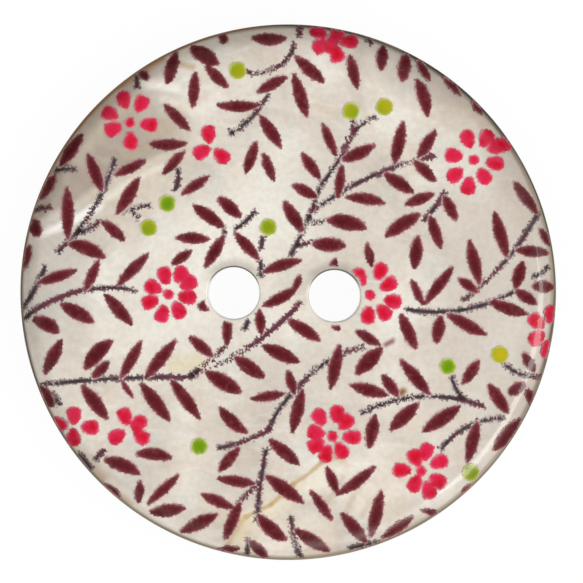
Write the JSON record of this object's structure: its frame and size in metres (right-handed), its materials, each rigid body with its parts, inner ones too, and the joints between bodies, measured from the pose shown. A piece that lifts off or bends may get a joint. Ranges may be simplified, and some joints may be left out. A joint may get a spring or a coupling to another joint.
{
  "type": "printed shell button",
  "caption": "Round flat sew-through button of pale shell with rounded rim and drilled sewing holes, its face printed with leafy sprigs, blossoms and berries; fastens clothing.",
  "frame": {"origin": "centre of the back, on the surface that the button lies on", "axes": "+Z out of the printed face, +X from the left sewing hole to the right one, +Y up across the print"},
  "size_m": [0.023, 0.023, 0.0021],
  "materials": {
    "shell": "polished mother-of-pearl under a clear gloss coat",
    "stem_ink": "broken slate-grey printing ink under a clear gloss coat",
    "leaf_ink": "maroon printing ink under a clear gloss coat",
    "blossom_ink": "crimson printing ink under a clear gloss coat",
    "berry_ink": "lime-green printing ink under a clear gloss coat"
  },
  "bodies": {
    "root": {"shell_disc": "shell", "stem_print": "stem_ink", "leaf_print": "leaf_ink", "blossom_print": "blossom_ink", "berry_print": "berry_ink"}
  },
  "joints": []
}
